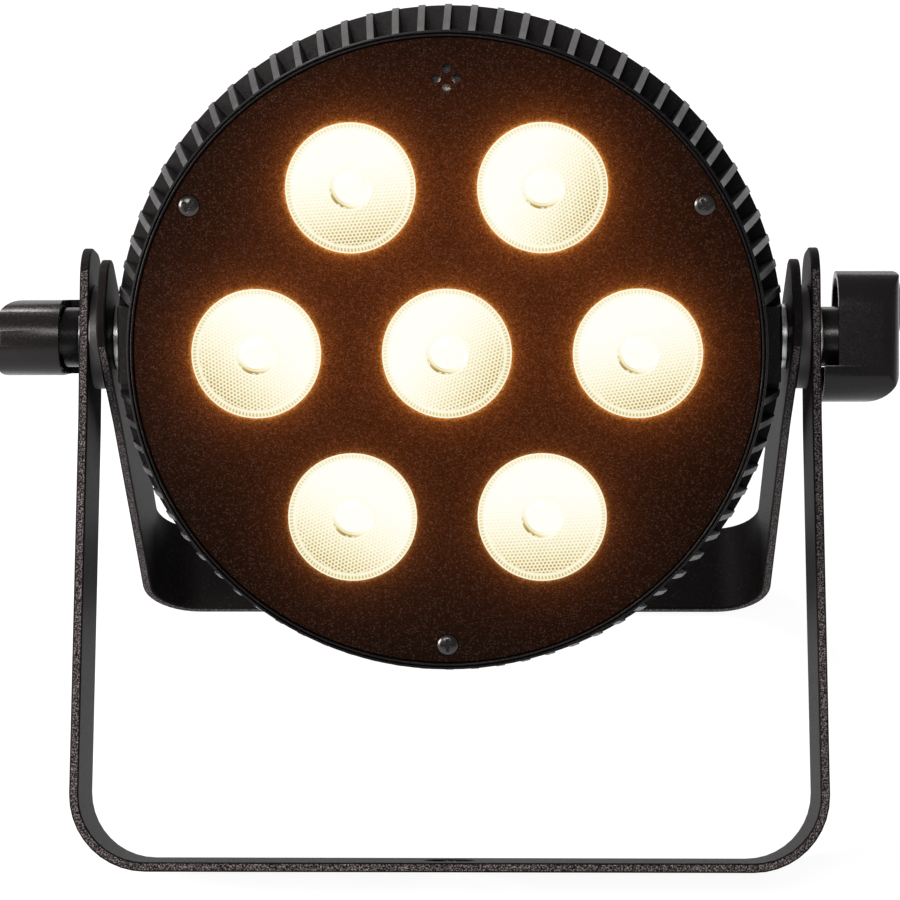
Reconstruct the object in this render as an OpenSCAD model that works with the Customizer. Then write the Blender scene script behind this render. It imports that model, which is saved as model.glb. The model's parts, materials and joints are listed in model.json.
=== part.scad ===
// Par can light: a finned seven-lens head held between two strap brackets that also serve as a floor stand.
// +X runs along the pivot axis, -Y is the front, +Z is up. The origin is the middle of the footprint.

/* [Stance] */
// Lean of the front bracket away from straight down
front_lean = 36; // [32:0.5:44]
// Upward tilt of the head
head_tilt = 23.8; // [0:0.1:45]
// Turn of the right knob about the pivot axis
right_knob_turn = -31; // [-180:1:180]
// Turn of the left knob about the pivot axis
left_knob_turn = -118; // [-180:1:180]

/* [Brackets] */
// Width of both straps
strap_w = 30; // [26:1:31]
// Thickness of both straps
strap_t = 2.7; // [2.2:0.1:3]
// Pivot axis to the outside of the front bracket's foot
front_len = 153; // [150:1:158]
// Pivot axis to the outside of the rear bracket's foot
rear_len = 142.2; // [140:0.2:146]
// How far each arm spreads outwards by the time it reaches the foot
arm_spread = 1.4; // [0:0.1:1.8]
// Length of strap past the pivot axis
arm_tail = 25.2; // [20:0.2:28]
// Radius of the rounded corners at the end of each arm
arm_corner_r = 10.8; // [4:0.2:12]
// Outside radius of the front bracket's bends
front_bend_r = 21.6; // [14:0.2:24]
// Outside radius of the rear bracket's bends
rear_bend_r = 17; // [12:0.5:20]
// Diameter of the clamp hole in the middle of each foot
clamp_d = 14.5; // [11:0.5:16]

/* [Head] */
// Radius of the cast rim around the face
rim_r = 87.8; // [87:0.1:88.4]
// Greatest radius over the cooling fins
fin_r = 95.2; // [93:0.1:95.8]
// Pivot axis forward to the front of the face plate
face_z = 50; // [50:0.5:54]
// Pivot axis back to the outside of the rear cover
rear_z = 26.5; // [26.5:0.5:30]
// Number of places for cooling fins around the housing
fin_n = 80; // [60:4:88]
// Thickness of one fin
fin_t = 1.9; // [1.2:0.1:2.2]

/* [Lamps] */
// Distance between the centres of neighbouring lenses
lens_pitch = 52.2; // [51:0.1:53]
// Diameter of each lens opening
lens_d = 35.6; // [33:0.1:36.4]

/* [Knobs] */
// Length of a knob across its wing
knob_l = 37.8; // [32:0.2:42]
// Width of a knob
knob_w = 21.6; // [20.6:0.2:24]
// Depth of a knob's shell along the pivot axis
knob_h = 17.8; // [17:0.1:22]

/* [Hidden] */
$fn = 64;
slip = 0.05;
tiny = 0.01;

// Stack of parts along the pivot axis, from the head outwards
pad_x = 94;
inner_spacer_t = 2.7;
rear_in = pad_x + inner_spacer_t + slip;
rear_out = rear_in + strap_t;
disc_t = 3.4;
disc_r = 15;
front_in = rear_out + slip + disc_t;
front_out = front_in + strap_t;
washer_x = front_out + slip;
washer_t = 1.2;
hub_x = washer_x + washer_t;
hub_r = 8.6;
shell_x = hub_x + 4.2;
knob_end_x = shell_x + knob_h;
knob_cap_t = 0.7;
bolt_r = 4;
bolt_clear_r = 4.3;
bolt_head_x = hub_x + 10;
bolt_head_r = 6.5;
bolt_head_h = 4;
insert_r = 6;

// Stance worked out from both feet standing on the floor
half_w = strap_w / 2;
pivot_z = front_len * cos(front_lean) + half_w * sin(front_lean);
rear_lean = atan2(half_w, rear_len) + acos(pivot_z / norm([rear_len, half_w]));
front_reach = front_len * sin(front_lean) + half_w * cos(front_lean);
rear_reach = rear_len * sin(rear_lean) + half_w * cos(rear_lean);
pivot_y = (front_reach - rear_reach) / 2;

// Levels in the head, measured forwards from the pivot axis
face_t = 2;
gasket_t = 0.8;
seat_z = face_z - face_t - gasket_t;
rim_z = face_z + 0.6;
web_front = 24;
web_back = 20;
led_board_t = 1.6;
led_z = web_front + led_board_t;
cover_t = 2.5;
cover_out = -rear_z;
cover_in = cover_out + cover_t;

// Closed flange behind the fins: level of its front face, thickness, and the bow of a fin's front edge
flange_z = 13.7;
flange_t = 2.4;
fin_bow = 0.25;

// Radii in the head
groove_r = rim_r - 0.7;
bezel_out_r = groove_r - 0.3;
bezel_in_r = bezel_out_r - 0.7;
plate_r = bezel_in_r - 0.4;
seat_r = 77.5;
wall_out_r = 83.5;
wall_in_r = 80.5;
cover_r = wall_in_r - 0.6;
pad_half = 10.8;

// Positions on the face and on the rear cover
face_screw_r = 81;
face_screw_angles = [30, 150, 270];
lens_spots = concat([[0, 0]], [for (a = [0:60:300]) lens_pitch * [cos(a), sin(a)]]);
sensor_y = 74.7;
sensor_hole_offset = 2.7;
cover_screw_r = 76.5;
cover_screw_angles = [0:60:300];
socket_y = -18;
socket_xs = [-48, -16, 16, 48];
button_y = 28;
button_xs = [-27, -9, 9, 27];
window_y = 44;
fuse_y = -52;
eye_y = 68;
control_posts = [for (x = [-46, 46], y = [24, 54]) [x, y]];
supply_posts = [for (x = [-44, 44], y = [20, 54]) [x, y]];
driver_posts = [for (x = [-44, 44], y = [-20, -54]) [x, y]];
board_t = 1.6;
control_z = -15;
supply_z = -6;
driver_z = 6;

// ---------- helpers ----------

function arc_points(centre, r, from, to, steps = 10) = [
    for (i = [0:steps]) let (angle = from + (to - from) * i / steps) centre + r * [cos(angle), sin(angle)]
];

module at_pivot() {
    translate([0, pivot_y, pivot_z]) children();
}

// Head frame: x to the right, y up the face, z out of the face, from the middle of the pivot axis
module in_head() {
    at_pivot() rotate([90 - head_tilt, 0, 0]) children();
}

// Pivot stack frame: z runs outwards along the pivot axis on the given side
module on_side(side) {
    rotate([0, side * 90, 0]) children();
}

module tube(r_out, r_in, h) {
    difference() {
        cylinder(r = r_out, h = h);
        translate([0, 0, -1]) cylinder(r = r_in, h = h + 2);
    }
}

module slab(size, z, h) {
    translate([0, 0, z]) linear_extrude(h) square(size, center = true);
}

// Plate with rounded corners, standing on z = 0
module rounded_plate(size, r, h) {
    linear_extrude(h) {
        square([size.x - 2 * r, size.y], center = true);
        square([size.x, size.y - 2 * r], center = true);
        for (x = [-1, 1], y = [-1, 1]) translate([x * (size.x / 2 - r), y * (size.y / 2 - r)]) circle(r = r);
    }
}

// Round-headed machine screw: shank below z = 0, head above it, with a cross recess
module machine_screw(head_r, head_h, shank_r, shank_l) {
    recess_w = head_r * 0.3;
    recess_l = head_r * 1.25;
    recess_d = head_h * 0.6;
    difference() {
        union() {
            rotate_extrude() polygon(concat(
                [[0, 0], [head_r, 0], [head_r, head_h * 0.35]],
                [for (i = [1:6]) [head_r * cos(i * 15), head_h * (0.35 + 0.65 * sin(i * 15))]]
            ));
            translate([0, 0, -shank_l]) cylinder(r = shank_r, h = shank_l + tiny);
        }
        for (a = [0, 90]) rotate(a) slab([recess_l, recess_w], head_h - recess_d, head_h);
    }
}

// ---------- brackets ----------

function bracket_side(half, len, r) = concat(
    [[half, arm_tail], [half, -arm_tail]],
    arc_points([half + arm_spread - r, r - len], r, 0, -90)
);

function mirrored(points) = [for (i = [len(points) - 1:-1:0]) [-points[i].x, points[i].y]];

// Bent strap with its pivot axis on X and its arms hanging down
module bracket(inner_half, length, bend_r) {
    outer = bracket_side(inner_half + strap_t, length, bend_r);
    inner = bracket_side(inner_half, length - strap_t, bend_r - strap_t);
    span = 2 * (inner_half + strap_t + arm_spread) + 2;
    difference() {
        intersection() {
            rotate([90, 0, 0]) linear_extrude(strap_w, center = true) difference() {
                polygon(concat(outer, mirrored(outer)));
                polygon(concat(
                    [[inner_half, arm_tail + 1]], inner, mirrored(inner), [[-inner_half, arm_tail + 1]]
                ));
            }
            rotate([90, 0, 90]) linear_extrude(span, center = true) {
                translate([-half_w, -length - 1]) square([strap_w, length + arm_tail + 1 - arm_corner_r]);
                translate([arm_corner_r - half_w, 0]) square([strap_w - 2 * arm_corner_r, arm_tail]);
                for (y = [-1, 1]) translate([y * (half_w - arm_corner_r), arm_tail - arm_corner_r])
                    circle(r = arm_corner_r);
            }
        }
        rotate([0, 90, 0]) cylinder(r = bolt_clear_r, h = span, center = true);
        translate([0, 0, -length - 1]) cylinder(d = clamp_d, h = strap_t + 2);
    }
}

module front_bracket() color("#1d1b1b") {
    at_pivot() rotate([-front_lean, 0, 0]) bracket(front_in, front_len, front_bend_r);
}

module rear_bracket() color("#242122") {
    at_pivot() rotate([rear_lean, 0, 0]) bracket(rear_in, rear_len, rear_bend_r);
}

// ---------- pivot hardware ----------

module bracket_discs() color("#2b2828") {
    for (side = [-1, 1]) at_pivot() on_side(side)
        translate([0, 0, rear_out + slip]) tube(disc_r, bolt_clear_r, disc_t);
}

module inner_spacers() color("#a9abad") {
    for (side = [-1, 1]) at_pivot() on_side(side)
        translate([0, 0, pad_x]) tube(9.5, bolt_clear_r, inner_spacer_t);
}

module pivot_inserts() color("#b8923a") {
    for (side = [-1, 1]) at_pivot() on_side(side)
        translate([0, 0, wall_in_r]) tube(insert_r, bolt_r + slip, pad_x - wall_in_r - 0.5);
}

module knob_washer(side) color("#8d8f92") {
    at_pivot() on_side(side) translate([0, 0, washer_x]) tube(hub_r, bolt_clear_r, washer_t);
}

// Knob frame: z outwards along the pivot axis, x along the knob's wing
module knob_turned(side) {
    at_pivot() rotate([side > 0 ? right_knob_turn : left_knob_turn, 0, 0]) on_side(side) children();
}

module knob_bolt(side) color("#a3a5a8") {
    tip_x = wall_in_r + 1;
    knob_turned(side) {
        translate([0, 0, tip_x]) cylinder(r = bolt_r, h = bolt_head_x - tip_x + tiny);
        translate([0, 0, bolt_head_x]) cylinder(r = bolt_head_r, h = bolt_head_h, $fn = 6);
    }
}

// Outline of a knob seen along the pivot axis
module knob_outline(inset) {
    r = knob_w / 2 - inset;
    reach = knob_l / 2 - knob_w / 2;
    for (s = [-1, 1]) translate([s * reach, 0]) circle(r = r);
    square([2 * reach, 2 * r], center = true);
}

// Shell height against position, with the outer corners rounded to the radii given for the low and high ends
module knob_profile(length, low_r, high_r) {
    reach = length / 2;
    polygon(concat(
        [[-reach, 0]],
        arc_points([low_r - reach, knob_h - low_r], low_r, 180, 90),
        arc_points([reach - high_r, knob_h - high_r], high_r, 90, 0),
        [[reach, 0]]
    ));
}

// Hollow wing knob along local x, open towards the bracket; its skirt is deeper at the rounded end
module knob(side) color("#262424") {
    wall = 2;
    roof = 4.6;
    tight_r = 2.2;
    end_r = 9;
    side_r = 6;
    skirt_gap = 0.3;
    knob_turned(side) difference() {
        union() {
            translate([0, 0, shell_x]) intersection() {
                linear_extrude(knob_h) knob_outline(0);
                rotate([90, 0, 0]) linear_extrude(knob_w + 2, center = true)
                    knob_profile(knob_l, tight_r, end_r);
                rotate([90, 0, 90]) linear_extrude(knob_l + 2, center = true)
                    knob_profile(knob_w, side_r, tight_r);
            }
            translate([0, 0, hub_x]) cylinder(r = hub_r, h = shell_x - hub_x + tiny);
            translate([0, 0, hub_x + skirt_gap]) intersection() {
                linear_extrude(shell_x - hub_x) knob_outline(0);
                translate([hub_r, -knob_w, 0]) cube([knob_l, 2 * knob_w, shell_x - hub_x]);
            }
        }
        difference() {
            translate([0, 0, hub_x]) linear_extrude(shell_x + knob_h - roof - hub_x) knob_outline(wall);
            translate([0, 0, hub_x - 1]) cylinder(r = hub_r, h = knob_h + 6);
        }
        translate([0, 0, hub_x - 1]) cylinder(r = bolt_r, h = 12);
        translate([0, 0, bolt_head_x]) cylinder(r = bolt_head_r, h = bolt_head_h, $fn = 6);
    }
}

module knob_cap(side) color("#1a1919") {
    spot = [-8.4, 2, knob_end_x];
    knob_turned(side) translate(spot) rounded_plate([15, 8.4], 3, knob_cap_t);
}

// ---------- housing ----------

// Half outline of one fin: wall radius inside, widest at the flange, nearly straight from there to the rim
function fin_points(limit) = let (
    front = face_z - 1.2,
    back = cover_out + 2.5,
    tip_r = groove_r + 0.5,
    rise = fin_r - tip_r,
    drop = fin_r - wall_out_r - 0.3
) concat(
    [[wall_out_r - 1, back]],
    [for (a = [0:9:90]) [min(limit, fin_r - drop * (1 - sin(a))), flange_z - (flange_z - back) * cos(a)]],
    [for (t = [0.1:0.1:1]) [
        min(limit, fin_r - rise * t + 4 * fin_bow * t * (1 - t)),
        flange_z + (front - flange_z) * t
    ]],
    [[tip_r, seat_z - 1], [wall_out_r - 1, seat_z - 3]]
);

module fin(thickness, limit) {
    rotate([90, 0, 0]) linear_extrude(thickness, center = true) polygon(fin_points(limit));
}

// Turned body: side wall with the flange behind the fins, front rim with its seat, and the lamp board's web
module cast_shell() {
    flange_r = fin_r - 0.4;
    rotate_extrude($fn = 160) polygon([
        [0, web_back], [wall_in_r, web_back], [wall_in_r, cover_out], [wall_out_r - 0.8, cover_out],
        [wall_out_r, cover_out + 0.8], [wall_out_r, flange_z - flange_t], [flange_r, flange_z - flange_t],
        [flange_r, flange_z], [wall_out_r, flange_z],
        [wall_out_r, face_z - 6], [rim_r, face_z - 4], [rim_r, rim_z - 0.4],
        [rim_r - 0.4, rim_z], [groove_r + 0.1, rim_z], [groove_r, rim_z - 0.1], [groove_r, seat_z],
        [seat_r, seat_z], [seat_r, seat_z - 4], [wall_in_r, seat_z - 7], [wall_in_r, web_front],
        [0, web_front]
    ]);
}

// Solid block around one side's pivot insert, running forwards to the rim
module pivot_pad() {
    root_x = wall_in_r - 4;
    intersection() {
        fin(2 * pad_half, pad_x);
        translate([0, -pad_half, -pad_half]) cube([pad_x, 2 * pad_half, 3.4 * pad_half]);
    }
    translate([root_x, 0, 0]) rotate([0, 90, 0]) cylinder(r = pad_half, h = pad_x - root_x);
}

module housing() color("#2a2626") {
    in_head() difference() {
        union() {
            cast_shell();
            for (i = [0:fin_n - 1]) {
                angle = i * 360 / fin_n;
                if (abs(sin(angle)) * fin_r > pad_half + 2.5) rotate(angle) fin(fin_t, fin_r);
            }
            for (a = [0, 180]) rotate(a) pivot_pad();
            for (a = face_screw_angles) rotate(a) translate([face_screw_r - 1, 0, seat_z - 12])
                cylinder(r = 4, h = 9);
            for (a = cover_screw_angles) rotate(a) translate([cover_screw_r, 0, cover_in])
                cylinder(r = 4.5, h = 14);
        }
        for (side = [-1, 1]) on_side(side) {
            translate([0, 0, wall_in_r]) cylinder(r = insert_r, h = 20);
            translate([0, 0, wall_in_r - 6]) cylinder(r = bolt_r + 0.4, h = 8);
        }
        for (a = face_screw_angles) rotate(a) translate([face_screw_r, 0, seat_z - 11])
            cylinder(r = 1.55, h = 12);
        for (a = cover_screw_angles) rotate(a) translate([cover_screw_r, 0, cover_in - 1])
            cylinder(r = 1.3, h = 12);
        translate([0, sensor_y, seat_z - 9]) cylinder(r = 6.2, h = 10);
        for (p = concat(supply_posts, driver_posts)) translate([p.x, p.y, web_back - 1])
            cylinder(r = 1.55, h = 4);
        led_screw_spots() translate([0, 0, web_back - 1]) cylinder(r = 1.55, h = 6);
    }
}

// ---------- front of the head ----------

module bezel_ring() color("#3a3535") {
    top = face_z + 0.5;
    in_head() rotate_extrude($fn = 160) polygon([
        [bezel_in_r, seat_z], [bezel_out_r, seat_z], [bezel_out_r, top - 0.2], [bezel_out_r - 0.2, top],
        [bezel_in_r + 0.2, top], [bezel_in_r, top - 0.2]
    ]);
}

module sensor_holes() {
    for (a = [0:90:270]) translate([0, sensor_y]) rotate(a) translate([sensor_hole_offset, 0]) children();
}

module face_plate() color("#2b2522") {
    in_head() translate([0, 0, face_z - face_t]) difference() {
        cylinder(r = plate_r, h = face_t, $fn = 160);
        for (p = lens_spots) translate([p.x, p.y, -1]) cylinder(d = lens_d, h = face_t + 2);
        for (a = face_screw_angles) rotate(a) translate([face_screw_r, 0, 0]) {
            translate([0, 0, -1]) cylinder(r = 1.9, h = face_t + 2);
            translate([0, 0, face_t - 0.9]) cylinder(r = 3.1, h = 1.5);
        }
        sensor_holes() translate([0, 0, -1]) cylinder(r = 1.25, h = face_t + 2, $fn = 24);
    }
}

module face_gasket() color("#101010") {
    in_head() translate([0, 0, seat_z]) difference() {
        tube(plate_r, seat_r + 0.5, gasket_t);
        for (a = face_screw_angles) rotate(a) translate([face_screw_r, 0, -1]) cylinder(r = 1.9, h = 3);
        translate([0, sensor_y, -1]) cylinder(r = 6.2, h = 3);
    }
}

module face_screws() color("#151414") {
    in_head() for (a = face_screw_angles) rotate(a) translate([face_screw_r, 0, face_z - 0.9])
        machine_screw(2.95, 1.7, 1.5, 9);
}

module lens(index) color("#f6edc8") {
    spot = lens_spots[index];
    front_r = lens_d / 2 - 0.2;
    flange_z = seat_z - 1.6;
    flange_top = face_z - face_t - 0.2;
    in_head() translate([spot.x, spot.y, 0]) rotate_extrude() polygon(concat(
        [[4.2, led_z + 2.2], [7, led_z + 2.2], [18, flange_z], [19.2, flange_z], [19.2, flange_top]],
        [[front_r, flange_top], [front_r, face_z - 0.9], [front_r - 0.4, face_z - 0.5]],
        [[front_r * 0.7, face_z - 0.1], [front_r * 0.4, face_z + 0.1], [0, face_z + 0.1]],
        [[0, led_z + 7], [4.2, led_z + 6]]
    ));
}

module lens_holders() color("#171717") {
    top = seat_z - 1.7;
    in_head() for (p = lens_spots) translate([p.x, p.y, 0]) rotate_extrude() polygon([
        [9, led_z], [20.2, led_z], [20.2, top], [18.6, top], [18.6, led_z + 1.4], [9, led_z + 1.4]
    ]);
}

module led_emitters() color("#f2d489") {
    in_head() for (p = lens_spots) translate([p.x, p.y, led_z]) {
        slab([7, 7], 0, 1.2);
        translate([0, 0, 1]) cylinder(r1 = 2.8, r2 = 1.8, h = 1.6);
    }
}

module led_screw_spots() {
    for (a = [30:60:330]) rotate(a) translate([lens_pitch / sqrt(3), 0, 0]) children();
}

module led_board() color("#d8d8d2") {
    in_head() difference() {
        translate([0, 0, web_front]) cylinder(r = 76, h = led_board_t);
        led_screw_spots() cylinder(r = 1.7, h = led_z + 1);
    }
}

module led_board_screws() color("#a9abad") {
    in_head() led_screw_spots() translate([0, 0, led_z]) machine_screw(2.75, 2, 1.5, 5);
}

module sensor_board() color("#20603a") {
    in_head() translate([0, sensor_y, seat_z - 8]) cylinder(r = 5.5, h = 1.2);
}

module sensor_capsule() color("#d9d7cf") {
    in_head() translate([0, sensor_y, seat_z - 6.8]) cylinder(r = 4.6, h = 7.2);
}

module sensor_sleeve() color("#161616") {
    in_head() translate([0, sensor_y, seat_z - 6.8]) tube(5.5, 4.6, face_z - face_t - seat_z + 6.8);
}

// ---------- electronics ----------

module circuit_board(size, centre, z, holes) {
    difference() {
        translate([centre.x, centre.y, z]) rounded_plate(size, 2, board_t);
        for (p = holes) translate([p.x, p.y, z - 1]) cylinder(r = 1.6, h = board_t + 2);
    }
}

module driver_board() color("#1d5c38") {
    in_head() circuit_board([100, 44], [0, -37], driver_z, driver_posts);
}

module driver_parts() color("#3b3f45") {
    in_head() translate([0, 0, driver_z + board_t]) {
        for (x = [-30:15:30]) translate([x, -46, 0]) cylinder(r = 5.5, h = 7);
        for (x = [-30:20:30]) translate([x, -26, 0]) slab([9, 9], 0, 2.4);
    }
}

module supply_board() color("#a58a52") {
    in_head() circuit_board([100, 44], [0, 37], supply_z, supply_posts);
}

module supply_parts() color("#4a4238") {
    in_head() translate([0, 0, supply_z + board_t]) {
        translate([-22, 37, 0]) rounded_plate([26, 24], 1.5, 18);
        translate([8, 42, 0]) cylinder(r = 8, h = 20);
        translate([28, 42, 0]) tube(7, 2.8, 9);
        translate([18, 24, 0]) slab([36, 3], 0, 16);
    }
}

module standoff(from_z) {
    difference() {
        union() {
            translate([0, 0, from_z]) cylinder(r = 3, h = web_back - from_z, $fn = 6);
            translate([0, 0, web_back - tiny]) cylinder(r = 1.5, h = 2.8);
        }
        translate([0, 0, from_z - 1]) cylinder(r = 1.3, h = 8);
    }
}

module board_standoffs() color("#c0a14e") {
    in_head() {
        for (p = supply_posts) translate([p.x, p.y, 0]) standoff(supply_z + board_t);
        for (p = driver_posts) translate([p.x, p.y, 0]) standoff(driver_z + board_t);
    }
}

module board_screws() color("#a9abad") {
    in_head() {
        for (p = supply_posts) translate([p.x, p.y, supply_z])
            mirror([0, 0, 1]) machine_screw(2.6, 1.8, 1.25, 7);
        for (p = driver_posts) translate([p.x, p.y, driver_z])
            mirror([0, 0, 1]) machine_screw(2.6, 1.8, 1.25, 7);
        for (p = control_posts) translate([p.x, p.y, control_z + board_t]) machine_screw(2.6, 1.8, 1.2, 7);
    }
}

// Flat cable from the control board forwards to the driver board
module display_ribbon() color("#b9b9b4") {
    start_z = control_z + board_t;
    end_z = driver_z;
    in_head() rotate([90, 0, 90]) linear_extrude(12, center = true) polygon([
        [25, start_z], [25, start_z + 1.4], [6, start_z + 1.4], [2, start_z + 4], [2, end_z - 4],
        [-8, end_z - 0.8], [-18, end_z - 0.8], [-18, end_z], [-7.6, end_z], [2.8, end_z - 3.6],
        [2.8, start_z + 4.4], [6.3, start_z + 2.2], [25.8, start_z + 2.2], [25.8, start_z]
    ]);
}

module control_board() color("#1f6b3f") {
    switch_top = 4.2;
    in_head() {
        circuit_board([100, 38], [0, 39], control_z, control_posts);
        for (x = button_xs) translate([x, button_y, 0]) {
            slab([6, 6], control_z - 3, 3 + tiny);
            translate([0, 0, control_z - switch_top]) cylinder(r = 1.7, h = 2);
        }
    }
}

module display_module() color("#141414") {
    in_head() translate([0, window_y, cover_in + 1.6]) rounded_plate([42, 14], 1, control_z - cover_in - 1.6);
}

module display_window() color("#3a1416") {
    in_head() {
        translate([0, window_y, cover_out]) rounded_plate([44, 16], 2, cover_t + tiny);
        translate([0, window_y, cover_in]) rounded_plate([48, 20], 2, 1);
    }
}

module button(index) color("#2f2f30") {
    in_head() translate([button_xs[index], button_y, 0]) {
        translate([0, 0, cover_out - 1.5]) cylinder(r = 4, h = 1.5 + cover_t + 0.2);
        translate([0, 0, cover_in + 0.1]) cylinder(r = 5.2, h = 1);
        translate([0, 0, cover_in + 1]) cylinder(r = 2.4, h = 2.8);
    }
}

// ---------- rear of the head ----------

module rear_cover() color("#242222") {
    in_head() difference() {
        union() {
            translate([0, 0, cover_out]) cylinder(r = cover_r, h = cover_t, $fn = 160);
            for (p = control_posts) translate([p.x, p.y, cover_in - tiny])
                cylinder(r = 2.5, h = control_z - cover_in);
        }
        for (p = control_posts) translate([p.x, p.y, control_z - 8]) cylinder(r = 1.25, h = 9);
        for (x = socket_xs) translate([x, socket_y, cover_out - 1]) {
            cylinder(r = 12.1, h = cover_t + 2);
            socket_screw_spots() cylinder(r = 1.45, h = cover_t + 2);
        }
        translate([socket_xs[3], socket_y + 13.4, 0]) slab([6.8, 3.4], cover_out - 1, cover_t + 2);
        for (x = button_xs) translate([x, button_y, cover_out - 1]) cylinder(r = 4.3, h = cover_t + 2);
        translate([0, window_y, cover_out - 1]) rounded_plate([44.2, 16.2], 2.1, cover_t + 2);
        translate([0, fuse_y, cover_out - 1]) cylinder(r = 7.1, h = cover_t + 2);
        translate([0, eye_y, cover_out - 1]) cylinder(r = 3.2, h = cover_t + 2);
        for (a = cover_screw_angles) rotate(a) translate([cover_screw_r, 0, cover_out - 1])
            cylinder(r = 1.7, h = cover_t + 2);
    }
}

module rear_cover_screws() color("#1a1a1a") {
    in_head() for (a = cover_screw_angles) rotate(a) translate([cover_screw_r, 0, cover_out])
        mirror([0, 0, 1]) machine_screw(2.8, 1.8, 1.25, 10);
}

module socket_screw_spots() {
    for (s = [-1, 1]) translate([9.6 * s, 12.6 * s, 0]) children();
}

module socket_screws() color("#9a9c9f") {
    in_head() for (x = socket_xs) translate([x, socket_y, cover_out - 2]) socket_screw_spots()
        mirror([0, 0, 1]) machine_screw(2.4, 1.4, 1.4, 8);
}

// Panel socket: flange outside the cover, barrel through it, and a round recess for the plug
module socket_body(recess_r, recess_d) {
    difference() {
        union() {
            translate([0, 0, cover_out - 2]) rounded_plate([26, 31], 3, 2);
            translate([0, 0, cover_out - 2]) cylinder(r = 11.9, h = 20);
        }
        translate([0, 0, cover_out - 3]) cylinder(r = recess_r, h = recess_d + 1);
        translate([0, 0, cover_out - 3]) socket_screw_spots() cylinder(r = 1.5, h = 4);
    }
}

module at_socket(index) {
    in_head() translate([socket_xs[index], socket_y, 0]) children();
}

module twist_socket() {
    at = cover_out - 1.5;
    difference() {
        union() {
            socket_body(10.4, 16);
            translate([0, 0, at]) cylinder(r = 6.6, h = 17);
        }
        for (a = [0:120:240]) rotate(a) translate([3.6, 0, 0]) slab([3, 1.2], at - 1, 10);
    }
}

module power_inlet() color("#2b5fa8") {
    at_socket(0) twist_socket();
}

module power_outlet() color("#b9bcc0") {
    at_socket(1) twist_socket();
}

module pin_spots() {
    for (a = [150, 270, 30]) rotate(a) translate([5.2, 0, 0]) children();
}

module data_in_socket() color("#1c1c1d") {
    at_socket(2) difference() {
        socket_body(9.6, 14);
        translate([0, 0, cover_out + 12 - 1]) pin_spots() cylinder(r = 1.2, h = 5);
    }
}

module data_in_pins() color("#c8b273") {
    at_socket(2) pin_spots() translate([0, 0, cover_out + 1]) cylinder(r = 1.15, h = 14);
}

module data_out_socket() color("#1c1c1d") {
    at_socket(3) difference() {
        union() {
            socket_body(9.9, 13);
            translate([0, 0, cover_out - 1]) cylinder(r = 7.6, h = 13);
        }
        translate([0, 0, cover_out - 2]) pin_spots() cylinder(r = 1.4, h = 11);
        translate([0, 13.4, 0]) slab([6.8, 3.4], cover_out - 3, 4);
    }
}

// Push tab that releases the plug; its foot is trapped behind the cover
module data_out_latch() color("#8f9194") {
    at_socket(3) translate([0, 13.4, 0]) {
        slab([6.2, 2.8], cover_out - 4, cover_t + 4 + 0.2);
        translate([0, 1, 0]) slab([9, 4], cover_in + 0.1, 1.2);
    }
}

module fuse_holder() color("#161617") {
    in_head() translate([0, fuse_y, 0]) difference() {
        union() {
            translate([0, 0, cover_out - 1.5]) cylinder(r = 8.6, h = 1.5);
            translate([0, 0, cover_out - 1]) cylinder(r = 7, h = 30.5);
        }
        translate([0, 0, cover_out - 2]) cylinder(r = 5.4, h = 28.5);
    }
}

module fuse_cap() color("#202021") {
    cap_z = cover_out - 1.55;
    in_head() translate([0, fuse_y, 0]) difference() {
        union() {
            translate([0, 0, cap_z - 4.5]) cylinder(r = 7.6, h = 4.5);
            translate([0, 0, cap_z - tiny]) cylinder(r = 5, h = 8);
        }
        slab([11, 1.4], cap_z - 5.5, 2.2);
        translate([0, 0, cap_z + 4]) cylinder(r = 2.6, h = 5);
    }
}

module fuse() color("#cfd6d8") {
    in_head() translate([0, fuse_y, cover_out + 2.5]) {
        cylinder(r = 2.6, h = 5);
        translate([0, 0, 4.99]) cylinder(r = 2.3, h = 10.02);
        translate([0, 0, 15]) cylinder(r = 2.6, h = 5);
    }
}

// Eye for the safety cable
module safety_eye() color("#7f8184") {
    ring_r = 7.5;
    rod_r = 2;
    in_head() translate([0, eye_y, cover_out]) {
        translate([0, 0, -1.6]) cylinder(r = 5, h = 1.6);
        translate([0, 0, -3]) cylinder(r = 3, h = 13.5);
        translate([0, 0, -3 - ring_r]) rotate([0, 90, 0]) rotate_extrude()
            translate([ring_r, 0]) circle(r = rod_r);
    }
}

module safety_eye_nut() color("#8f9194") {
    in_head() translate([0, eye_y, cover_in]) difference() {
        cylinder(r = 5.5, h = 4, $fn = 6);
        translate([0, 0, -1]) cylinder(r = 3.05, h = 6);
    }
}

front_bracket();
rear_bracket();
bracket_discs();
inner_spacers();
pivot_inserts();
knob_washer(-1);  // left_knob_washer
knob_washer(1);  // right_knob_washer
knob_bolt(-1);  // left_knob_bolt
knob_bolt(1);  // right_knob_bolt
knob(-1);  // left_knob
knob(1);  // right_knob
knob_cap(-1);  // left_knob_cap
knob_cap(1);  // right_knob_cap
housing();
bezel_ring();
face_plate();
face_gasket();
face_screws();
lens(0);  // lens_1
lens(1);  // lens_2
lens(2);  // lens_3
lens(3);  // lens_4
lens(4);  // lens_5
lens(5);  // lens_6
lens(6);  // lens_7
lens_holders();
led_emitters();
led_board();
led_board_screws();
sensor_board();
sensor_capsule();
sensor_sleeve();
driver_board();
driver_parts();
supply_board();
supply_parts();
board_standoffs();
board_screws();
display_ribbon();
control_board();
display_module();
display_window();
button(0);  // button_menu
button(1);  // button_up
button(2);  // button_down
button(3);  // button_enter
rear_cover();
rear_cover_screws();
power_inlet();
power_outlet();
data_in_socket();
data_in_pins();
data_out_socket();
data_out_latch();
socket_screws();
fuse_holder();
fuse_cap();
fuse();
safety_eye();
safety_eye_nut();
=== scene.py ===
"""Looks for the par can light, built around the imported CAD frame. Lengths are in metres."""

import json
import math
import random

import bmesh
import bpy
from mathutils import Matrix, Vector


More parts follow.
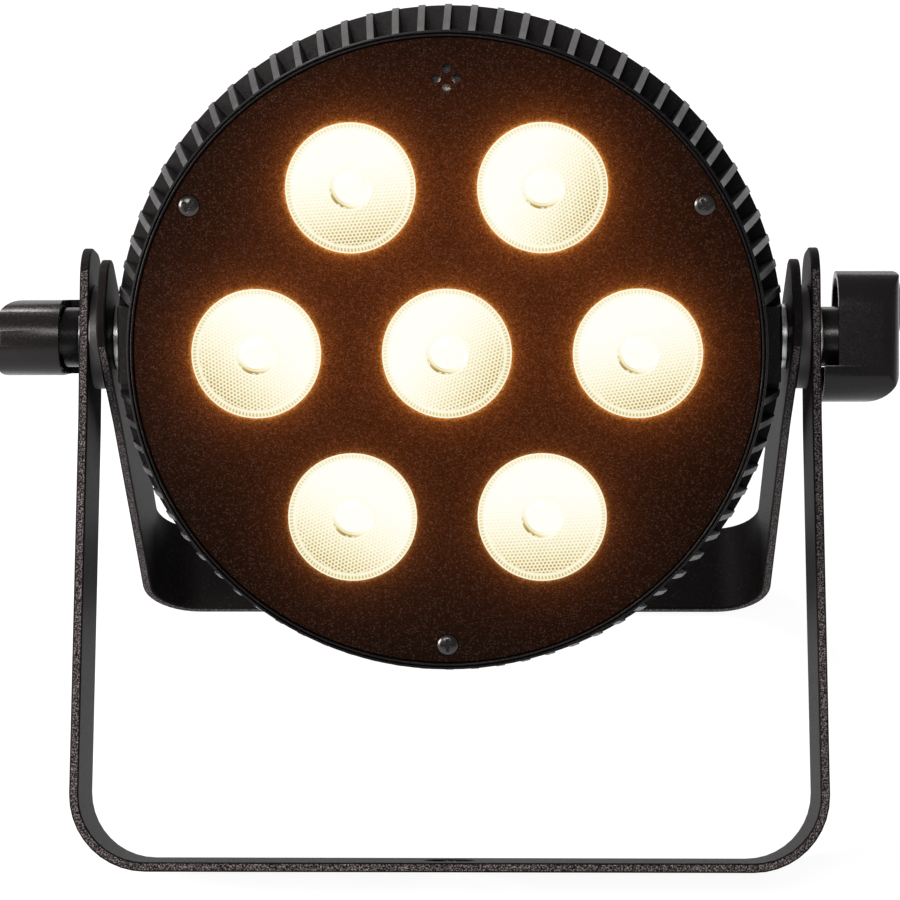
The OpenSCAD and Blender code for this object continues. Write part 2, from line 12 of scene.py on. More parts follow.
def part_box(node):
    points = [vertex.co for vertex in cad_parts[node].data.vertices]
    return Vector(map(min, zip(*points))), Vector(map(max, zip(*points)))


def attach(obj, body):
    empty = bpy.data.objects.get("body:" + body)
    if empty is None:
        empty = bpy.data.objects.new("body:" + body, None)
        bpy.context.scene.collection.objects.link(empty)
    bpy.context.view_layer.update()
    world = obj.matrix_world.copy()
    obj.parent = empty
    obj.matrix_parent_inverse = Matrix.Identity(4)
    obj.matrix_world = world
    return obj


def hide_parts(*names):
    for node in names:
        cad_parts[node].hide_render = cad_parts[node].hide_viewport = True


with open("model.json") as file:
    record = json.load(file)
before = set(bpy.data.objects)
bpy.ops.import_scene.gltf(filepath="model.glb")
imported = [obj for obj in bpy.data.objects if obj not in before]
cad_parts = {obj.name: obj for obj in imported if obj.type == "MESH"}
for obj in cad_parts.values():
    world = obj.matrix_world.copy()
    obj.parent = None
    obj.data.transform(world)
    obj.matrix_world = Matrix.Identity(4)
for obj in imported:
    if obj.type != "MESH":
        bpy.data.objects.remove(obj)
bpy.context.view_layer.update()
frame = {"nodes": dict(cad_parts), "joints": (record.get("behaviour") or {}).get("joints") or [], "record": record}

MM = 0.001
NODES = frame["nodes"]
JOINTS = {joint["name"]: joint for joint in frame["joints"]}
SLOT_OF = {part["node"]: part["material_slot"] for part in frame["record"]["subparts"]}
BODY_OF = {
    node: body
    for body, members in frame["record"]["behaviour"]["bodies"].items()
    for node in members
}

# Head frame: x right, y up the face, z out of the face, from the middle of the pivot axis
PIVOT = Vector(JOINTS["head_tilt"]["pos_m"])
FACE_OUT = Vector(JOINTS["menu_press"]["axis"]).normalized()
FACE_UP = FACE_OUT.cross(Vector((1, 0, 0)))
HEAD = Matrix(
    (
        (1, FACE_UP.x, FACE_OUT.x, PIVOT.x),
        (0, FACE_UP.y, FACE_OUT.y, PIVOT.y),
        (0, FACE_UP.z, FACE_OUT.z, PIVOT.z),
        (0, 0, 0, 1),
    )
)


def node_middle(node):
    low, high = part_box(node)
    return (low + high) / 2


def node_span(node):
    low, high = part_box(node)
    return high - low


def in_head(point):
    return HEAD.inverted() @ point


def axis_spot(node):
    """Where a turned part's own axis crosses the face, from its mesh in the head frame."""
    points = [in_head(vert.co) for vert in NODES[node].data.vertices]
    across = [point.x for point in points]
    along = [point.y for point in points]
    return Vector(((min(across) + max(across)) / 2, (min(along) + max(along)) / 2, 0))


# Sizes read off the frame, less the hidden flange of a lens and up to the front of the face plate
LENS_FLANGE = 1.45 * MM
FACE_PLATE_HALF = 1 * MM
LENS_NODES = [f"lens_{number}" for number in range(1, 8)]
LENS_SPOTS = [axis_spot(node) for node in LENS_NODES]
LENS_R = node_span("lens_1").x / 2 - LENS_FLANGE
FACE_Z = in_head(node_middle("face_plate")).z + FACE_PLATE_HALF
MOUNT_AXES = {mount["name"]: Vector(mount["axis"]) for mount in frame["record"]["mounts"]}


# ---------- camera, light and floor ----------

# Fitted to the photograph's circles and edges. The two shifts move the camera along its own
# axes from the line through the pivot, so that it frames the object as the photograph does.
CAMERA_DISTANCE = 0.9017
CAMERA_ELEVATION = math.radians(31.2)
CAMERA_YAW = math.radians(-1.09)
CAMERA_ROLL = math.radians(0.02)
CAMERA_RIGHT_SHIFT = -0.0000756
CAMERA_UP_SHIFT = -0.03275
CAMERA_LENS_MM = 124.7
CAMERA_CLIP_START = 0.05

WORLD_STRENGTH = 0.3
FLOOR_GLOW = 0.93
FLOOR_HALF = 20
FLOOR_TONE = 0.15
LIGHT_TARGET = (0, 0, 0.13)
WARM_WHITE = (1.0, 0.94, 0.93)
# Soft boxes: name, place, size, watts
SOFT_BOXES = (
    ("front_box", (-0.25, -0.95, 1.15), (0.7, 0.35), 8),
    ("left_box", (-1.15, -0.5, 0.6), (0.4, 0.6), 27),
    ("back_box", (0, 1.5, 0.5), (1.6, 0.5), 4),
    ("crown_box", (-0.6, 0.7, 1.25), (0.5, 0.4), 14),
)


def add_camera():
    tilt = Matrix.Rotation(-CAMERA_ELEVATION, 3, "X")
    yaw = Matrix.Rotation(-CAMERA_YAW, 3, "Z")
    roll = Matrix.Rotation(CAMERA_ROLL, 3, "Y")
    right = tilt @ yaw @ roll @ Vector((1, 0, 0))
    forward = tilt @ yaw @ Vector((0, 1, 0))
    up = right.cross(forward)
    data = bpy.data.cameras.new("camera")
    data.lens = CAMERA_LENS_MM
    data.clip_start = CAMERA_CLIP_START
    camera = bpy.data.objects.new("camera", data)
    camera.matrix_world = Matrix((right, up, -forward)).transposed().to_4x4()
    camera.location = (
        PIVOT
        - forward * CAMERA_DISTANCE
        + right * CAMERA_RIGHT_SHIFT
        + up * CAMERA_UP_SHIFT
    )
    bpy.context.scene.collection.objects.link(camera)
    bpy.context.scene.camera = camera


def add_soft_box(name, spot, size, watts):
    data = bpy.data.lights.new(name, "AREA")
    data.shape = "RECTANGLE"
    data.size, data.size_y = size
    data.energy = watts
    data.color = WARM_WHITE
    light = bpy.data.objects.new(name, data)
    light.location = spot
    light.visible_camera = False
    aim = Vector(LIGHT_TARGET) - Vector(spot)
    light.rotation_euler = aim.to_track_quat("-Z", "Y").to_euler()
    bpy.context.scene.collection.objects.link(light)


def add_floor():
    bm = bmesh.new()
    bmesh.ops.create_grid(bm, x_segments=2, y_segments=2, size=FLOOR_HALF)
    mesh = bpy.data.meshes.new("floor")
    bm.to_mesh(mesh)
    bm.free()
    floor = bpy.data.objects.new("floor", mesh)
    bpy.context.scene.collection.objects.link(floor)
    paper = Shader("floor")
    paper.set(Base_Color=(*grey(FLOOR_TONE), 1), Roughness=0.9, Specular_IOR_Level=0.0)
    paper.set(Emission_Color=(1, 1, 1, 1), Emission_Strength=FLOOR_GLOW)
    floor.data.materials.append(paper.material)


def add_studio():
    scene = bpy.context.scene
    scene.view_settings.view_transform = "Standard"
    world = bpy.data.worlds.new("studio")
    scene.world = world
    world.use_nodes = True
    sky = world.node_tree.nodes["Background"]
    sky.inputs["Color"].default_value = (1, 1, 1, 1)
    sky.inputs["Strength"].default_value = WORLD_STRENGTH
    for name, spot, size, watts in SOFT_BOXES:
        add_soft_box(name, spot, size, watts)
    add_floor()


# ---------- materials ----------

# Places of the factor, first colour, second colour and result on a Mix node of colours
MIX_SOCKETS, MIX_RESULT = (0, 6, 7), 2


class Shader:
    """One material. Most methods add a node, feed its sockets and return its output."""

    def __init__(self, name):
        self.material = bpy.data.materials.new(name)
        self.material.use_nodes = True
        self.tree = self.material.node_tree
        self.surface = self.tree.nodes["Principled BSDF"]
        texture = self.add("ShaderNodeTexCoord")
        self.coords = texture.outputs["Object"]
        self.normal = texture.outputs["Normal"]

    def add(self, kind, **settings):
        node = self.tree.nodes.new(kind)
        for key, value in settings.items():
            setattr(node, key, value)
        return node

    def link(self, source, target):
        self.tree.links.new(source, target)

    def set(self, **values):
        for key, value in values.items():
            self.surface.inputs[key.replace("_", " ")].default_value = value

    def noise(self, scale, detail=3, rough=0.55, stretch=None):
        node = self.add("ShaderNodeTexNoise")
        node.inputs["Scale"].default_value = scale
        node.inputs["Detail"].default_value = detail
        node.inputs["Roughness"].default_value = rough
        source = self.coords
        if stretch:
            mapping = self.add("ShaderNodeMapping")
            mapping.inputs["Scale"].default_value = stretch
            self.link(source, mapping.inputs["Vector"])
            source = mapping.outputs["Vector"]
        self.link(source, node.inputs["Vector"])
        return node.outputs["Fac"]

    def specks(self, scale):
        """A random value for each tiny cell of the surface."""
        node = self.add("ShaderNodeTexVoronoi")
        node.inputs["Scale"].default_value = scale
        self.link(self.coords, node.inputs["Vector"])
        split = self.add("ShaderNodeSeparateColor")
        self.link(node.outputs["Color"], split.inputs["Color"])
        return split.outputs["Red"]

    def ramp(self, source, stops):
        node = self.add("ShaderNodeValToRGB")
        elements = node.color_ramp.elements
        while len(elements) < len(stops):
            elements.new(0.5)
        for element, (place, colour) in zip(elements, stops, strict=True):
            element.position = place
            element.color = (*colour, 1)
        self.link(source, node.inputs["Fac"])
        return node.outputs["Color"]

    def feed(self, socket, value):
        """Sets a socket to a constant, or links it to another node's output."""
        if isinstance(value, (int, float, tuple, Vector)):
            socket.default_value = value
        else:
            self.link(value, socket)

    def math(self, operation, *values):
        node = self.add("ShaderNodeMath", operation=operation)
        for socket, value in zip(node.inputs, values):
            self.feed(socket, value)
        return node.outputs[0]

    def vector(self, operation, first, second):
        node = self.add("ShaderNodeVectorMath", operation=operation)
        self.feed(node.inputs[0], first)
        self.feed(node.inputs[1], second)
        return node.outputs["Value" if operation in ("DOT_PRODUCT", "DISTANCE") else "Vector"]

    def scaled(self, colour, factor):
        node = self.add("ShaderNodeVectorMath", operation="SCALE")
        self.feed(node.inputs[0], colour)
        self.link(factor, node.inputs["Scale"])
        return node.outputs["Vector"]

    def mix(self, factor, first, second):
        """Colour mix; first may be a node's output or a colour, second is a colour."""
        node = self.add("ShaderNodeMix", data_type="RGBA")
        factor_socket, first_socket, second_socket = (node.inputs[place] for place in MIX_SOCKETS)
        self.link(factor, factor_socket)
        self.feed(first_socket, (*first, 1) if isinstance(first, tuple) else first)
        self.feed(second_socket, (*second, 1))
        return node.outputs[MIX_RESULT]

    def bump(self, height, strength, distance):
        node = self.add("ShaderNodeBump")
        node.inputs["Strength"].default_value = strength
        node.inputs["Distance"].default_value = distance
        self.link(height, node.inputs["Height"])
        if self.surface.inputs["Normal"].is_linked:
            self.link(self.surface.inputs["Normal"].links[0].from_socket, node.inputs["Normal"])
        self.link(node.outputs["Normal"], self.surface.inputs["Normal"])

    def colour(self, socket):
        self.link(socket, self.surface.inputs["Base Color"])

    def roughness(self, source, middle, spread):
        low, high = middle - spread, middle + spread
        self.link(self.between(source, grey(low), grey(high)), self.surface.inputs["Roughness"])

    def between(self, source, low, high):
        """Runs from one colour to the other over the middle of a noise's range."""
        return self.ramp(source, [(0.3, low), (0.7, high)])


def grey(value):
    return (value, value, value)


# Noise scales of the powder's fine peel and of the coarse grain on cut edges, and their bump depths
PEEL_SCALE, PEEL_DEPTH = 2400, 0.03 * MM
COARSE_SCALE, COARSE_DEPTH = 2500, 0.15 * MM
PEEL_DUST = (0.03, 0.025, 0.025)
# Colour of the painted glints on cut edges: light specks that stand for the coarse grain's sparkle
PAINTED_EDGE_GLINT = (0.2, 0.172, 0.172)
# Cosine of the widest angle between a cut edge's normal and the direction it should face
EDGE_COSINE = 0.96


def powder_coat(name, dark, light, roughness, gloss, edge=None):
    """Baked powder paint with a fine orange peel; faces that look along edge, or straight
    away from it, carry coarse grain with painted glints: light specks that stand for its sparkle."""
    shader = Shader(name)
    shader.set(Specular_IOR_Level=gloss)
    fine = shader.noise(PEEL_SCALE, 2, 0.6)
    tone = shader.between(shader.noise(16, 4), dark, light)
    dust = shader.ramp(shader.specks(PEEL_SCALE), [(0.93, grey(0)), (0.99, grey(0.5))])
    tone = shader.mix(dust, tone, PEEL_DUST)
    shader.roughness(fine, roughness, 0.09)
    shader.bump(fine, 0.5, PEEL_DEPTH)
    if edge:
        across = shader.math("ABSOLUTE", shader.vector("DOT_PRODUCT", shader.normal, edge))
        cut = shader.math("GREATER_THAN", across, EDGE_COSINE)
        coarse = shader.noise(COARSE_SCALE, 2, 0.7)
        # Painted highlight: light specks in the colour of the cut edges stand for their sparkle
        painted_glint = shader.ramp(coarse, [(0.48, grey(0)), (0.66, grey(1))])
        painted_glint = shader.math("MULTIPLY", painted_glint, cut)
        tone = shader.mix(painted_glint, tone, PAINTED_EDGE_GLINT)
        shader.bump(shader.math("MULTIPLY", coarse, cut), 0.6, COARSE_DEPTH)
    shader.colour(tone)
    return shader.material


def moulded_plastic(name, colour, roughness, gloss=0.35, grain=1800, depth=0.015):
    """Moulded plastic: slow tone change, faint scuffs, fine texture. depth is in millimetres."""
    shader = Shader(name)
    shader.set(Specular_IOR_Level=gloss)
    pale = tuple(min(1, channel * 1.3 + 0.003) for channel in colour)
    worn = tuple(min(1, channel * 1.6 + 0.012) for channel in colour)
    tone = shader.between(shader.noise(35, 4), colour, pale)
    rubbed = shader.noise(260, 4, 0.7, stretch=(1, 1, 0.3))
    scuffs = shader.ramp(rubbed, [(0.62, grey(0)), (0.8, grey(0.6))])
    shader.colour(shader.mix(scuffs, tone, worn))
    fine = shader.noise(grain, 2)
    shader.roughness(fine, roughness, 0.07)
    shader.bump(fine, 0.35, depth * MM)
    return shader.material


def metal(name, colour, roughness):
    """Turned or rolled metal with fine lines and dull patches."""
    shader = Shader(name)
    shader.set(Metallic=1.0)
    lines = shader.noise(500, 3, 0.6, stretch=(30, 1, 1))
    dull = tuple(channel * 0.72 for channel in colour)
    shader.colour(shader.between(shader.noise(90, 3), dull, colour))
    shader.roughness(lines, roughness, 0.09)
    shader.bump(lines, 0.2, 0.015 * MM)
    return shader.material


def circuit_board(name, mask, track):
    """Green lacquer over straight copper tracks."""
    shader = Shader(name)
    tracks = shader.add("ShaderNodeTexBrick")
    tracks.inputs["Scale"].default_value = 160
    tracks.inputs["Mortar Size"].default_value = 0.03
    shader.link(shader.coords, tracks.inputs["Vector"])
    shader.colour(shader.mix(tracks.outputs["Fac"], mask, track))
    shader.roughness(shader.noise(900, 2), 0.32, 0.07)
    shader.bump(tracks.outputs["Fac"], 0.4, 0.05 * MM)
    return shader.material


# Painted glow of the lenses' light on the face, in the face paint's emission: how far it reaches
# beyond a lens's edge, and its linear colour at that edge
NEAR_REACH, NEAR_GLOW = 3.2 * MM, (0.125, 0.03, 0.004)
WIDE_REACH, WIDE_GLOW = 13 * MM, (0.05, 0.0098, 0.0011)
FRINGE_REACH, FRINGE_GLOW = 0.45 * MM, (0.5, 0.2, 0.03)
# Share of that light by lens: middle, then anticlockwise from the right as seen from the front
SPILL_SHARES = (1.0, 1.0, 1.1, 1.1, 1.0, 0.55, 0.55)
FACE_DARK, FACE_LIGHT = (0.0022, 0.0014, 0.001), (0.0036, 0.0024, 0.0018)
FACE_DUST = (0.026, 0.019, 0.016)
# Added to the random value of each grain, so that a grain's glow runs from 0.5 to 1.5 of the mean
GRAIN_FLOOR = 0.5


def face_paint():
    """Matt paint with fine sparkle, with the lit lenses' glow round them painted in as emission."""
    shader = Shader("face_paint")
    shader.set(Specular_IOR_Level=0.01, Emission_Strength=1.0)
    fine = shader.noise(2600, 2, 0.6)
    sparkle = shader.specks(3200)
    tone = shader.between(shader.noise(20, 3), FACE_DARK, FACE_LIGHT)
    dust = shader.ramp(sparkle, [(0.8, grey(0)), (0.98, grey(0.7))])
    shader.colour(shader.mix(dust, tone, FACE_DUST))
    shader.roughness(fine, 0.55, 0.1)
    shader.bump(fine, 0.5, 0.03 * MM)
    reaches = (FRINGE_REACH, NEAR_REACH, WIDE_REACH)
    sums = [0.0, 0.0, 0.0]
    for spot, share in zip(LENS_SPOTS, SPILL_SHARES):
        centre = HEAD @ Vector((spot.x, spot.y, FACE_Z))
        gap = shader.math("SUBTRACT", shader.vector("DISTANCE", shader.coords, centre), LENS_R)
        gap = shader.math("MAXIMUM", gap, 0.0)
        for step, reach in enumerate(reaches):
            spill = shader.math("EXPONENT", shader.math("DIVIDE", gap, -reach))
            sums[step] = shader.math("ADD", sums[step], shader.math("MULTIPLY", spill, share))
    fringe, near, wide = (
        shader.scaled(glow, total)
        for glow, total in zip((FRINGE_GLOW, NEAR_GLOW, WIDE_GLOW), sums)
    )
    spread = shader.vector("ADD", shader.vector("ADD", fringe, near), wide)
    grains = shader.math("ADD", sparkle, GRAIN_FLOOR)
    # Painted glow: the face paint emits the lenses' spilt light, grain by grain
    shader.link(shader.scaled(spread, grains), shader.surface.inputs["Emission Color"])
    return shader.material


# Emission along the attribute 'glow', from a lens's darkest dots to its white spot
LENS_LIGHT = [
    (0.0, (0.36, 0.22, 0.06)),
    (0.25, (0.66, 0.53, 0.22)),
    (0.5, (0.92, 0.85, 0.57)),
    (0.75, (0.97, 0.95, 0.79)),
    (1.0, (0.99, 0.98, 0.93)),
]
# How far noise moves the glow, from end to end
GLOW_WAVER = 0.16


def lit_lens():
    """Moulded lens glowing warm white, by the attribute that LensForm writes."""
    shader = Shader("lens_lit")
    glow = shader.add("ShaderNodeAttribute", attribute_name="glow").outputs["Fac"]
    waver = shader.math("MULTIPLY_ADD", shader.noise(700, 2), GLOW_WAVER, -GLOW_WAVER / 2)
    light = shader.ramp(shader.math("ADD", glow, waver), LENS_LIGHT)
    shader.set(Base_Color=(0.02, 0.018, 0.012, 1), Specular_IOR_Level=0.25, Emission_Strength=0.98)
    shader.link(light, shader.surface.inputs["Emission Color"])
    shader.roughness(shader.noise(900, 2), 0.3, 0.08)
    return shader.material


# Middle of the pale spot left outside the painted shade: below the capsule's axis on the face, and behind the face
SENSOR_DROP, SENSOR_DEPTH = 1.0 * MM, 2.4 * MM
# Distance from that middle over which the ramp runs from the pale spot into the painted shade
SENSOR_REACH = 4 * MM


def sensor_capsule():
    """Pale sensor seen through the four holes of the face: painted shade darkens all of it but a pale spot."""
    shader = Shader("sensor_white")
    spot = axis_spot("sensor_capsule")
    middle = HEAD @ Vector((spot.x, spot.y - SENSOR_DROP, FACE_Z - SENSOR_DEPTH))
    away = shader.vector("DISTANCE", shader.coords, middle)
    reach = shader.math("DIVIDE", away, SENSOR_REACH)
    # Painted shade: beyond the pale spot the sensor is coloured near black
    shader.colour(shader.ramp(reach, [(0.5, (0.7, 0.62, 0.52)), (0.6, (0.006, 0.004, 0.004))]))
    shader.roughness(shader.noise(900, 2), 0.4, 0.08)
    return shader.material


def strap_edge(mount):
    """Direction that a strap's cut edges face."""
    return tuple(Vector((1, 0, 0)).cross(MOUNT_AXES[mount]))


BRACKET_TONES = ((0.0030, 0.0022, 0.0022), (0.0048, 0.0036, 0.0036))
HOUSING_TONES = ((0.0027, 0.0019, 0.0019), (0.0042, 0.003, 0.003))
# Slots of plain moulded plastic: colour, roughness, and gloss, grain and depth where not the usual
PLASTICS = {
    "friction_disc": ((0.02, 0.018, 0.018), 0.42, 0.5),
    "knob_plastic": ((0.0040, 0.0028, 0.0028), 0.25, 0.25, 1500, 0.05),
    "seal_rubber": ((0.006, 0.006, 0.006), 0.7, 0.2),
    "holder_plastic": ((0.012, 0.012, 0.012), 0.5),
    "led_emitter": ((0.9, 0.7, 0.25), 0.3),
    "lamp_board": ((0.75, 0.75, 0.72), 0.4),
    "electronic_parts": ((0.025, 0.025, 0.03), 0.5),
    "ribbon_cable": ((0.42, 0.42, 0.40), 0.5),
    "display_black": ((0.008, 0.008, 0.008), 0.2),
    "display_window": ((0.03, 0.004, 0.005), 0.09, 0.6),
    "button_plastic": ((0.035, 0.035, 0.036), 0.45),
    "socket_blue": ((0.02, 0.09, 0.35), 0.35),
    "socket_grey": ((0.36, 0.37, 0.39), 0.38),
    "socket_black": ((0.012, 0.012, 0.013), 0.35),
}
# Slots of metal, and of glass seen as its reflection: colour and roughness
METALS = {
    "brass": ((0.72, 0.52, 0.24), 0.3),
    "steel": ((0.55, 0.55, 0.56), 0.3),
    "black_screw": ((0.07, 0.066, 0.064), 0.26),
    "fuse_glass": ((0.7, 0.72, 0.73), 0.15),
}
BOARD_MASK, BOARD_TRACK = (0.015, 0.10, 0.04), (0.05, 0.2, 0.08)


def make_materials():
    """Materials by slot, and by node for the two brackets, whose cut edges face different ways."""
    made = {slot: moulded_plastic(slot, *look) for slot, look in PLASTICS.items()}
    made |= {slot: metal(slot, *look) for slot, look in METALS.items()}
    made["housing_paint"] = powder_coat("housing_paint", *HOUSING_TONES, 0.42, 0.13)
    made["face_paint"] = face_paint()
    made["lens_lit"] = lit_lens()
    made["sensor_white"] = sensor_capsule()
    made["circuit_board"] = circuit_board("circuit_board", BOARD_MASK, BOARD_TRACK)
    for side in ("front", "rear"):
        name, edge = side + "_bracket_paint", strap_edge(side + "_foot_face")
        made[side + "_bracket"] = powder_coat(name, *BRACKET_TONES, 0.55, 0.06, edge)
    return made


# Filled by main()
MATERIALS = {}


def material_of(node):
    return MATERIALS[node] if node in MATERIALS else MATERIALS[SLOT_OF[node]]


# ---------- mesh helpers ----------


def finish_mesh(name, bm, node, smooth, at=None):
    """Turns a bmesh into the piece that replaces a CAD node, with its body, slot and material.
    Edges sharper than smooth degrees stay crisp, and at is the matrix that places the mesh."""
    bmesh.ops.recalc_face_normals(bm, faces=bm.faces)
    mesh = bpy.data.meshes.new(name)
    bm.to_mesh(mesh)
    bm.free()
    if at:
        mesh.transform(at)
    mesh.shade_smooth()
    mesh.set_sharp_from_angle(angle=math.radians(smooth))
    piece = bpy.data.objects.new(name, mesh)
    bpy.context.scene.collection.objects.link(piece)
    piece.data.materials.append(material_of(node))
    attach(piece, BODY_OF[node])
    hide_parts(node)


# Degrees below which neighbouring faces are shaded as one, on rounded CAD nodes and on lenses
NODE_SMOOTH, LENS_SMOOTH = 20, 60
# Rounding of CAD nodes: degrees from which an edge is rounded, and faces across the rounding
BEVEL_FROM, BEVEL_SEGMENTS = 30, 2
# Before it, vertices this close become one, and faces this near to flat are joined
WELD_DISTANCE, FLAT_WITHIN = 0.002 * MM, 0.5


def softened(node, width):
    """Copy of a CAD node with its hard edges rounded over, shown in the node's place."""
    bm = bmesh.new()
    bm.from_mesh(NODES[node].data)
    bmesh.ops.remove_doubles(bm, verts=bm.verts, dist=WELD_DISTANCE)
    flat = math.radians(FLAT_WITHIN)
    bmesh.ops.dissolve_limit(bm, angle_limit=flat, verts=bm.verts, edges=bm.edges)
    mesh = bpy.data.meshes.new(node + "_rough")
    bm.to_mesh(mesh)
    bm.free()
    rough = bpy.data.objects.new(node + "_rough", mesh)
    bpy.context.scene.collection.objects.link(rough)
    bevel = rough.modifiers.new("edges", "BEVEL")
    bevel.width = width
    bevel.segments = BEVEL_SEGMENTS
    bevel.limit_method = "ANGLE"
    bevel.angle_limit = math.radians(BEVEL_FROM)
    evaluated = rough.evaluated_get(bpy.context.evaluated_depsgraph_get())
    shaped = bpy.data.meshes.new_from_object(evaluated)
    bpy.data.objects.remove(rough)
    bm = bmesh.new()
    bm.from_mesh(shaped)
    finish_mesh(node + "_shaped", bm, node, NODE_SMOOTH)


def polar(radius, turn, height):
    return (radius * math.cos(turn), radius * math.sin(turn), height)


def even(level):
    """A glow that is the same all the way round, as LensForm.turned asks for it."""
    return lambda turn, k: level


# ---------- pieces ----------


class LensForm:
    """One lens in the head frame, about its own axis: hexagonal dimples round a plain centre eye,
    radial flutes at the rim, and a skirt behind."""

    PITCH = 1.05 * MM
    EYE_R = 5.8 * MM
    EYE_SEGMENTS = 72
    EYE_SHADOW = math.radians(222)
    SPOT_R = 4.3 * MM
    BAND_R = LENS_R - 1.7 * MM
    LINE_R = LENS_R - 0.25 * MM
    FLANGE_R = LENS_R + 1.3 * MM
    THROAT_R = LENS_R - 9 * MM
    FLUTES = 112
    SUNK = 0.08 * MM
    DIMPLE = 0.16 * MM
    DOME = 0.35 * MM
    # How dim the middle of the lens is, and how much dimmer it gets from there to its dim side
    MIDDLE_SHADE, SHADE_SLOPE = 0.30, 0.85
    # How much of its glow a lens loses to shade between dimples, and in one in the light or shade
    RIM_LOSS, DIMPLE_LOSS, SHADED_DIMPLE_LOSS = 0.24, 0.04, 0.78

    def __init__(self, dim_turn):
        self.dim = Vector((math.cos(dim_turn), math.sin(dim_turn)))
        self.top = FACE_Z - self.SUNK
        self.bm = bmesh.new()
        self.glow = self.bm.verts.layers.float.new("glow")
        self.corners = {}

    def height(self, x, y):
        share = math.hypot(x, y) / LENS_R
        return self.top + self.DOME * (1 - share * share)

    def shade(self, x, y):
        """0 on the lens's bright side, 1 on its dim side."""
        across = (x * self.dim.x + y * self.dim.y) / LENS_R
        return min(1.0, max(0.0, self.MIDDLE_SHADE + self.SHADE_SLOPE * across))

    def vert(self, x, y, z, glow):
        made = self.bm.verts.new((x, y, z))
        made[self.glow] = glow
        return made

    def corner(self, x, y, depth):
        """Vertex of the dimpled field. depth is 1 in the middle of a dimple and 0 on its rim."""
        key = (round(x / self.PITCH * 12), round(y / self.PITCH * 12))
        if key not in self.corners:
            shade = self.shade(x, y)
            sunk = depth * (self.DIMPLE_LOSS + self.SHADED_DIMPLE_LOSS * shade)
            glow = 1.0 - self.RIM_LOSS * shade - sunk
            self.corners[key] = self.vert(x, y, self.height(x, y) - depth * self.DIMPLE, glow)
        return self.corners[key]

    def hexagon(self, x, y, radius, depth):
        turns = [math.pi / 6 + k * math.pi / 3 for k in range(6)]
        return [
            self.corner(x + radius * math.cos(t), y + radius * math.sin(t), depth) for t in turns
        ]

    def field(self):
        """Hexagonal dimples between the eye and the flutes, each a ring of six corners, a sunk
        ring half as wide and a middle."""
        hex_r = self.PITCH / math.sqrt(3)
        rows = int(LENS_R / (self.PITCH * math.sqrt(3) / 2)) + 2
        for j in range(-rows, rows + 1):
            for i in range(-rows, rows + 1):
                x = (i + 0.5 * (j % 2)) * self.PITCH
                y = j * self.PITCH * math.sqrt(3) / 2
                if not self.EYE_R < math.hypot(x, y) < self.BAND_R + 0.35 * hex_r:
                    continue
                ring = self.hexagon(x, y, hex_r, 0.0)
                near = self.hexagon(x, y, 0.5 * hex_r, 0.75)
                middle = self.corner(x, y, 1.0)
                for k in range(6):
                    n = (k + 1) % 6
                    self.bm.faces.new((middle, near[k], near[n]))
                    self.bm.faces.new((near[k], ring[k], ring[n], near[n]))

    def turned(self, profile, segments):
        """Rows of vertices about the lens's axis, one for each point of the profile: its radius,
        its height, and its glow by turn and by number of the vertex."""
        turns = [2 * math.pi * k / segments for k in range(segments)]
        rows = [
            [self.vert(*polar(radius, t, height), glow(t, k)) for k, t in enumerate(turns)]
            for radius, height, glow in profile
        ]
        for first, second in zip(rows, rows[1:]):
            for k in range(segments):
                n = (k + 1) % segments
                self.bm.faces.new((first[k], first[n], second[n], second[k]))
        return rows

    def cap(self, row, height, glow):
        """Closes a row of vertices with a fan round a middle vertex."""
        middle = self.vert(0, 0, height, glow)
        for k in range(len(row)):
            self.bm.faces.new((row[k], row[(k + 1) % len(row)], middle))

    def rim(self):
        """Radial flutes, the bright line at the edge, and the skirt behind them."""
        top = self.top

        def flute(low, high):
            """Bright ridges with dark grooves between them, dimmer on the lens's dim side."""
            def glow(turn, k):
                shade = self.shade(*polar(LENS_R, turn, 0)[:2])
                return high - 0.15 * shade if k % 2 else low + 0.25 * (1 - shade)
            return glow

        self.turned([
            (self.BAND_R - 0.5 * MM, top - 0.05 * MM, even(0.75)),
            (self.BAND_R + 0.2 * MM, top + 0.02 * MM, flute(0.55, 0.85)),
            (self.BAND_R + 0.5 * MM, top + 0.02 * MM, flute(0.12, 0.85)),
            (self.LINE_R - 0.3 * MM, top, flute(0.1, 0.8)),
            (self.LINE_R - 0.1 * MM, top, even(0.55)),
            (self.LINE_R, top, even(0.85)),
            (LENS_R, top - 0.1 * MM, even(0.6)),
            (LENS_R, FACE_Z - 2 * MM, even(0.3)),
            (self.FLANGE_R, FACE_Z - 2.2 * MM, even(0.3)),
            (self.FLANGE_R, FACE_Z - 4 * MM, even(0.3)),
            (self.THROAT_R, FACE_Z - 18 * MM, even(0.3)),
        ], 2 * self.FLUTES)

    def eye(self):
        """Round dip in the lens's middle with a shaded crescent, and the white spot in it."""
        top = self.height(self.EYE_R, 0)

        def crescent(low, high):
            def glow(turn, k):
                near = max(0.0, math.cos(turn - self.EYE_SHADOW)) ** 2
                return high + (low - high) * near
            return glow

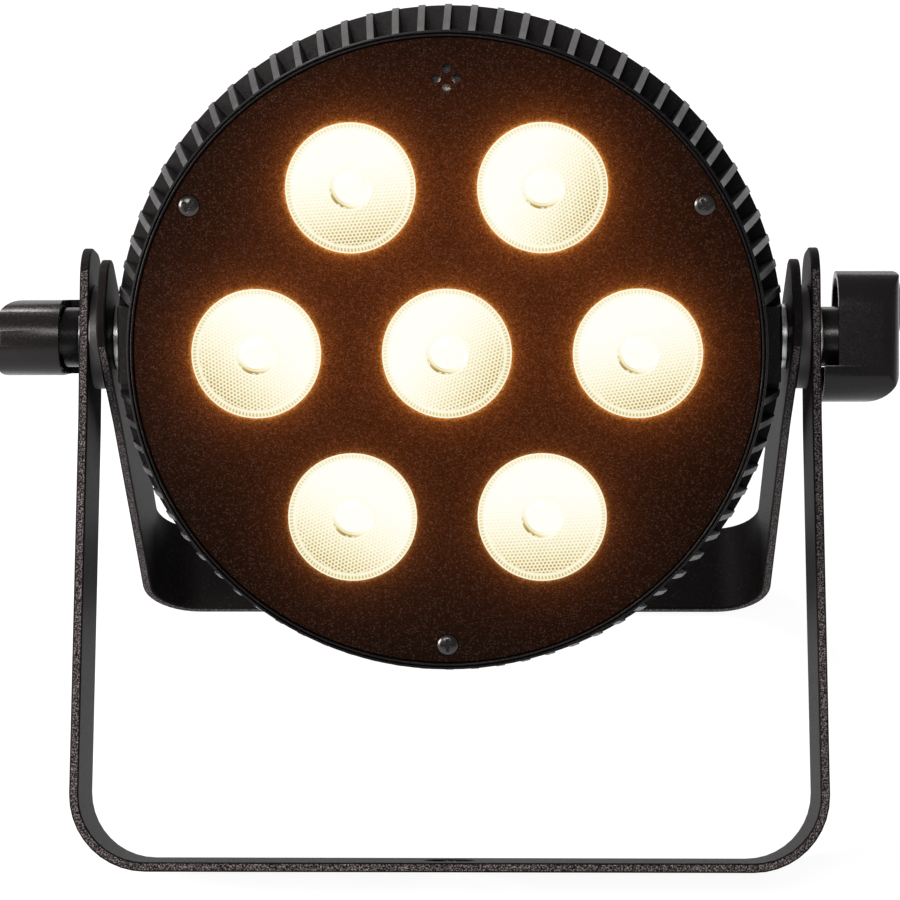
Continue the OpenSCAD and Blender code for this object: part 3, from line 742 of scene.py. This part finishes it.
        rows = self.turned([
            (self.EYE_R + 0.7 * MM, top - 0.25 * MM, even(0.8)),
            (self.EYE_R + 0.1 * MM, top, even(0.85)),
            (self.EYE_R - 0.2 * MM, top - 0.1 * MM, crescent(0.0, 0.8)),
            (self.EYE_R - 0.6 * MM, top - 0.9 * MM, crescent(0.05, 0.9)),
            (self.SPOT_R + 0.4 * MM, top - 1.0 * MM, crescent(0.55, 0.95)),
            (self.SPOT_R + 0.1 * MM, top - 0.8 * MM, crescent(0.3, 1.0)),
            (self.SPOT_R - 0.3 * MM, top - 0.6 * MM, even(1.0)),
            (self.SPOT_R * 0.5, top - 0.2 * MM, even(1.0)),
        ], self.EYE_SEGMENTS)
        self.cap(rows[-1], top - 0.1 * MM, 1.0)


def build_lens(node, spot, dim_turn, field_turn):
    """A lens whose dim side faces dim_turn on the face, with its dimples turned by field_turn."""
    form = LensForm(dim_turn - field_turn)
    form.field()
    form.rim()
    form.eye()
    at = HEAD @ Matrix.Translation(spot) @ Matrix.Rotation(field_turn, 4, "Z")
    finish_mesh(node + "_cells", form.bm, node, LENS_SMOOTH, at)


# Width of the rounding in millimetres, and the CAD nodes that are shown with edges so rounded
SOFT_EDGES = (
    (0.5, ("front_bracket", "rear_bracket")),
    (0.45, ("left_knob", "right_knob", "left_knob_cap", "right_knob_cap")),
    (0.3, ("bracket_discs", "inner_spacers", "bezel_ring", "rear_cover", "safety_eye_nut")),
    (0.3, ("left_knob_washer", "right_knob_washer", "power_inlet", "power_outlet")),
    (0.2, ("face_plate", "housing", "face_screws", "data_in_socket", "data_out_socket")),
    (0.2, ("button_menu", "button_up", "button_down", "button_enter", "fuse_holder", "fuse_cap")),
)
# Direction of each lens's dim side, in degrees anticlockwise from the right of the face
DIM_TURNS = (-40, -75, -30, -80, -130, -115, -88)
DIMPLE_TURN_SEED = 7


def main():
    MATERIALS.update(make_materials())
    add_studio()
    for node, obj in NODES.items():
        obj.data.materials.clear()
        obj.data.materials.append(material_of(node))
    turns = random.Random(DIMPLE_TURN_SEED)
    for node, spot, dim in zip(LENS_NODES, LENS_SPOTS, DIM_TURNS):
        build_lens(node, spot, math.radians(dim), turns.uniform(0, math.pi / 3))
    for width, nodes in SOFT_EDGES:
        for node in nodes:
            softened(node, width * MM)


add_camera()
main()
